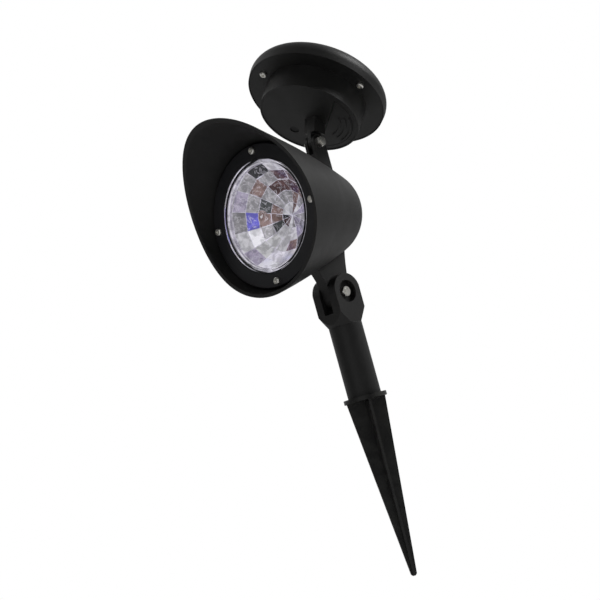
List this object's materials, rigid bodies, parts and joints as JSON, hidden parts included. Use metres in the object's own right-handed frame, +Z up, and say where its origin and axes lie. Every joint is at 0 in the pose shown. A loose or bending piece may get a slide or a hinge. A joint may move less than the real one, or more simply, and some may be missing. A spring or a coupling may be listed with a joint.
{
  "type": "light projector stake",
  "caption": "Black garden light projector on a ground spike: a flared drum lamp head with a faceted rotating lens, hinged on a pole, and a tilting solar disc above it.",
  "frame": {"origin": "middle of the spike collar rim, at ground level", "axes": "+Z up along the pole; the lamp faces -Y; both hinge bolts lie along X"},
  "size_m": [0.1176, 0.1606, 0.3889],
  "materials": {
    "black_plastic": "fine-textured matte black",
    "spike_plastic": "satin black, slightly mottled",
    "zinc_steel": "bright zinc plate",
    "clear_plastic": "clear",
    "lens_plastic": "moulded faceted clear plastic",
    "seal_rubber": "matte",
    "board_green": "solder mask",
    "led_epoxy": "milky clear",
    "motor_steel": "satin",
    "solar_silicon": "dark blue, glossy",
    "battery_wrap": "printed sleeve",
    "spring_steel": "nickel plated"
  },
  "bodies": {
    "stake": {"ground_spike": "spike_plastic"},
    "pole": {"pole_tube": "black_plastic", "pole_clevis": "black_plastic", "head_hinge_bolt": "zinc_steel", "head_hinge_nut": "zinc_steel"},
    "head": {"head_shell": "black_plastic", "bezel_ring": "black_plastic", "bezel_screws": "zinc_steel", "clear_cover": "clear_plastic", "cover_gasket": "seal_rubber", "lamp_chassis": "black_plastic", "chassis_screws": "zinc_steel", "led_board": "board_green", "led_emitters": "led_epoxy", "motor_gearbox": "black_plastic", "motor_can": "motor_steel", "panel_hinge_bolt": "zinc_steel", "panel_hinge_nut": "zinc_steel"},
    "lens": {"kaleidoscope_lens": "lens_plastic", "motor_shaft": "motor_steel"},
    "panel": {"panel_base": "black_plastic", "panel_top_cover": "black_plastic", "solar_pane": "clear_plastic", "solar_cell": "solar_silicon", "panel_seal": "seal_rubber", "panel_screws": "zinc_steel", "switch_body": "black_plastic", "battery_tray": "black_plastic", "battery_cell": "battery_wrap", "battery_spring": "spring_steel", "battery_contact": "spring_steel", "charge_board": "board_green"},
    "button": {"switch_button": "seal_rubber"},
    "door": {"battery_door": "black_plastic"}
  },
  "joints": [
    {"name": "pole_swivel", "type": "hinge", "parent": "stake", "child": "pole", "pos_m": [0, 0, 0], "axis": [0, 0, 1], "continuous": true},
    {"name": "head_tilt", "type": "hinge", "parent": "pole", "child": "head", "pos_m": [0, 0, 0.0746], "axis": [1, 0, 0], "range_deg": [-85, 80]},
    {"name": "panel_tilt", "type": "hinge", "parent": "head", "child": "panel", "pos_m": [0, 0.02025, 0.1836], "axis": [1, 0, 0], "range_deg": [-55, 50]},
    {"name": "lens_spin", "type": "hinge", "parent": "head", "child": "lens", "pos_m": [0, -0.0501, 0.139], "axis": [0, -0.9938, 0.1115], "continuous": true},
    {"name": "power_button", "type": "slide", "parent": "panel", "child": "button", "axis": [0, 0.682, 0.7314], "range_m": [0, 0.0012], "stiffness_N_per_m": 1500},
    {"name": "door_slide", "type": "slide", "parent": "panel", "child": "door", "axis": [0, -0.682, -0.7314], "range_m": [0, 0.0035]}
  ]
}
